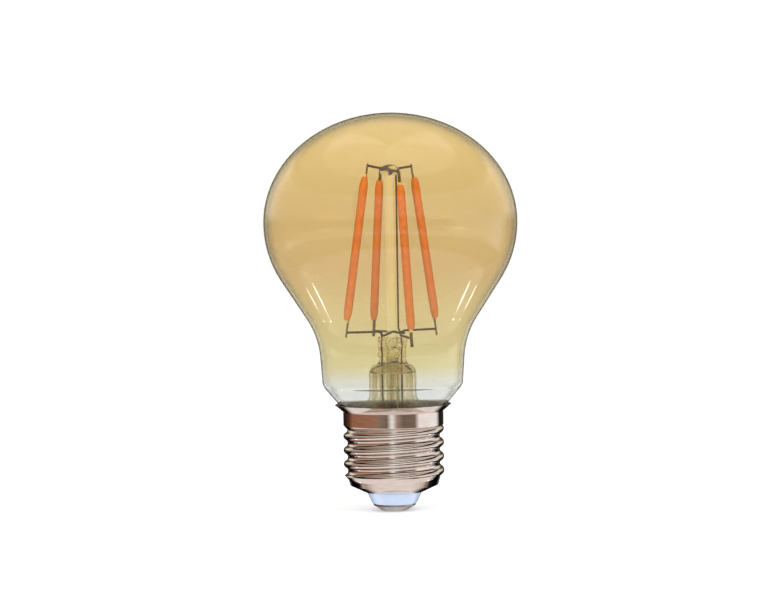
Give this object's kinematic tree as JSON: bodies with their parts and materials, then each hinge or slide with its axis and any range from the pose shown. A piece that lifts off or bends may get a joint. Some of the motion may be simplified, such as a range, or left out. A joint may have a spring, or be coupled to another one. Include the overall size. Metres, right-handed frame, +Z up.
{
  "type": "smart filament light bulb",
  "caption": "Clear amber glass filament lamp with a screw cap, straight orange LED filaments leaning in on a glass stem, and driver and radio boards hidden in the cap.",
  "frame": {"origin": "middle of the centre contact's lowest face, on the lamp's axis", "axes": "+Z up the lamp's axis from the contact to the crown of the glass, -Y the side the lamp is seen from"},
  "size_m": [0.0661, 0.066, 0.1036],
  "materials": {
    "amber_glass": "clear amber-tinted blown soda-lime glass",
    "stem_glass": "clear fire-polished lead-free stem glass",
    "phosphor": "translucent orange phosphor silicone",
    "ceramic_strip": "pale alumina strip",
    "led_chip": "bare blue LED dice",
    "tab_steel": "stamped plated steel",
    "lead_nickel": "drawn nickel wire, darkened at the welds",
    "dumet": "copper-sheathed seal wire",
    "nickel_plate": "bright nickel-plated rolled brass",
    "cement": "baked basing cement",
    "insulator": "pale blue-white moulded insulator",
    "contact_metal": "pressed nickel-plated brass disc",
    "liner": "moulded heat-resistant liner",
    "board": "solder-masked glass-epoxy board",
    "package": "moulded black epoxy",
    "capacitor": "drawn aluminium can",
    "ferrite": "pressed ferrite",
    "winding": "enamelled copper wire",
    "resistor": "flameproof lacquer",
    "shield": "tinned steel can",
    "white_wire": "silicone-insulated wire"
  },
  "bodies": {
    "root": {"antenna_wire": "white_wire", "back_arm": "lead_nickel", "basing_cement": "cement", "bridge_rectifier": "package", "bridge_wire": "lead_nickel", "bulk_capacitor": "capacitor", "cap_insulator": "insulator", "centre_column": "stem_glass", "chip_parts": "package", "contact_pin": "contact_metal", "contact_plate": "contact_metal", "driver_board": "board", "driver_chip": "package", "exhaust_tube": "stem_glass", "filament_1_chips": "led_chip", "filament_1_coat": "phosphor", "filament_1_foot_tab": "tab_steel", "filament_1_head_tab": "tab_steel", "filament_1_strip": "ceramic_strip", "filament_2_chips": "led_chip", "filament_2_coat": "phosphor", "filament_2_foot_tab": "tab_steel", "filament_2_head_tab": "tab_steel", "filament_2_strip": "ceramic_strip", "filament_3_chips": "led_chip", "filament_3_coat": "phosphor", "filament_3_foot_tab": "tab_steel", "filament_3_head_tab": "tab_steel", "filament_3_strip": "ceramic_strip", "filament_4_chips": "led_chip", "filament_4_coat": "phosphor", "filament_4_foot_tab": "tab_steel", "filament_4_head_tab": "tab_steel", "filament_4_strip": "ceramic_strip", "front_arm": "lead_nickel", "fusible_resistor": "resistor", "glass_bulb": "amber_glass", "inductor_core": "ferrite", "inductor_winding": "winding", "inner_top_wire": "lead_nickel", "liner_cup": "liner", "live_wire": "white_wire", "lower_lead": "lead_nickel", "neutral_wire": "lead_nickel", "outer_lead_left": "lead_nickel", "outer_lead_right": "lead_nickel", "outer_top_wire": "lead_nickel", "radio_board": "board", "radio_shield": "shield", "riser_wire": "lead_nickel", "screw_shell": "nickel_plate", "seal_wire_left": "dumet", "seal_wire_right": "dumet", "stem_flare": "stem_glass", "stem_press": "stem_glass", "top_button": "stem_glass"}
  },
  "joints": []
}
